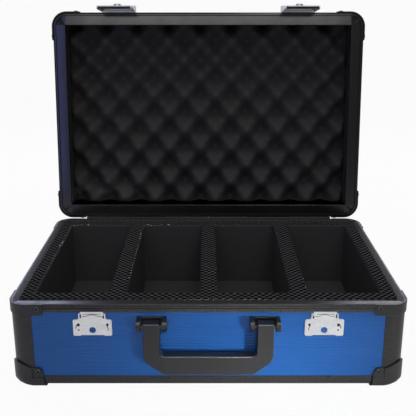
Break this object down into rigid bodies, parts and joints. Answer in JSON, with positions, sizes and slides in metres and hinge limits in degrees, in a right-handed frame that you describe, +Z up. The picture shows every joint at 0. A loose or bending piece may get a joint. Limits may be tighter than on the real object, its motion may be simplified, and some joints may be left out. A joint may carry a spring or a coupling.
{
  "type": "art supply carry case",
  "caption": "Hinged carry case with a dark metal frame, blue ribbed walls, a foam tray of long wells, an egg-crate foam lid, lever latches and a swinging front handle.",
  "frame": {"origin": "centre of the bounding box in plan, on the floor plane that the four ball corners stand on", "axes": "+X to the right along the front, +Y to the rear, +Z up; the lid is stored open"},
  "size_m": [0.4568, 0.4414, 0.4151],
  "materials": {
    "frame": "satin",
    "wall_panel": "satin",
    "corner_metal": "satin",
    "rivet": "satin",
    "foam": "matte",
    "lining": "matte",
    "handle_plastic": "satin",
    "nickel": "satin"
  },
  "bodies": {
    "base": {"base_ball_corners": "corner_metal", "base_bottom_panel": "wall_panel", "base_corner_posts": "frame", "base_front_edge": "frame", "base_front_panel": "wall_panel", "base_front_rim": "frame", "base_left_edge": "frame", "base_left_panel": "wall_panel", "base_left_rim": "frame", "base_rear_edge": "frame", "base_rear_panel": "wall_panel", "base_rear_rim": "frame", "base_right_edge": "frame", "base_right_panel": "wall_panel", "base_right_rim": "frame", "base_rim_corner_caps": "corner_metal", "base_rivets": "rivet", "foam_dividers": "foam", "foam_floor": "foam", "foam_front_wall": "foam", "foam_left_wall": "foam", "foam_rear_wall": "foam", "foam_right_wall": "foam", "handle_brackets": "handle_plastic", "handle_pins": "nickel", "hinge_base_leaves": "frame", "hinge_pins": "frame", "latch_catch_left": "nickel", "latch_catch_right": "nickel"},
    "lid": {"hinge_lid_leaves": "frame", "latch_brackets": "nickel", "latch_hook_pins": "nickel", "latch_lever_pins": "nickel", "lid_ball_corners": "corner_metal", "lid_corner_posts": "frame", "lid_egg_crate_foam": "foam", "lid_front_edge": "frame", "lid_front_panel": "wall_panel", "lid_front_rim": "frame", "lid_left_edge": "frame", "lid_left_panel": "wall_panel", "lid_left_rim": "frame", "lid_rear_edge": "frame", "lid_rear_panel": "wall_panel", "lid_rear_rim": "frame", "lid_right_edge": "frame", "lid_right_panel": "wall_panel", "lid_right_rim": "frame", "lid_rim_corner_caps": "corner_metal", "lid_rivets": "rivet", "lid_top_panel": "wall_panel", "lid_wall_linings": "lining"},
    "handle": {"handle": "handle_plastic"},
    "latch_lever_left": {"latch_lever_left": "nickel"},
    "latch_lever_right": {"latch_lever_right": "nickel"},
    "latch_hook_left": {"latch_hook_left": "nickel"},
    "latch_hook_right": {"latch_hook_right": "nickel"},
    "lock_barrel_left": {"lock_barrel_left": "nickel"},
    "lock_barrel_right": {"lock_barrel_right": "nickel"}
  },
  "joints": [
    {"name": "lid_hinge", "type": "hinge", "parent": "base", "child": "lid", "pos_m": [0, 0.0983, 0.1032], "axis": [1, 0, 0], "range_deg": [0, 97]},
    {"name": "handle_swing", "type": "hinge", "parent": "base", "child": "handle", "pos_m": [0, -0.2142, 0.0805], "axis": [-1, 0, 0], "range_deg": [-4, 90]},
    {"name": "latch_lever_left_swing", "type": "hinge", "parent": "lid", "child": "latch_lever_left", "pos_m": [-0.1305, 0.15918, 0.40453], "axis": [-1, 0, 0], "range_deg": [0, 90]},
    {"name": "latch_hook_left_swing", "type": "hinge", "parent": "lid", "child": "latch_hook_left", "pos_m": [-0.1305, 0.14584, 0.40667], "axis": [1, 0, 0], "range_deg": [0, 3.2]},
    {"name": "lock_barrel_left_turn", "type": "hinge", "parent": "latch_lever_left", "child": "lock_barrel_left", "pos_m": [-0.1305, 0.13492, 0.41214], "axis": [0, -0.1219, -0.9925], "range_deg": [0, 90]},
    {"name": "latch_lever_right_swing", "type": "hinge", "parent": "lid", "child": "latch_lever_right", "pos_m": [0.1305, 0.15918, 0.40453], "axis": [-1, 0, 0], "range_deg": [0, 90]},
    {"name": "latch_hook_right_swing", "type": "hinge", "parent": "lid", "child": "latch_hook_right", "pos_m": [0.1305, 0.14584, 0.40667], "axis": [1, 0, 0], "range_deg": [0, 3.2]},
    {"name": "lock_barrel_right_turn", "type": "hinge", "parent": "latch_lever_right", "child": "lock_barrel_right", "pos_m": [0.1305, 0.13492, 0.41214], "axis": [0, -0.1219, -0.9925], "range_deg": [0, 90]}
  ]
}
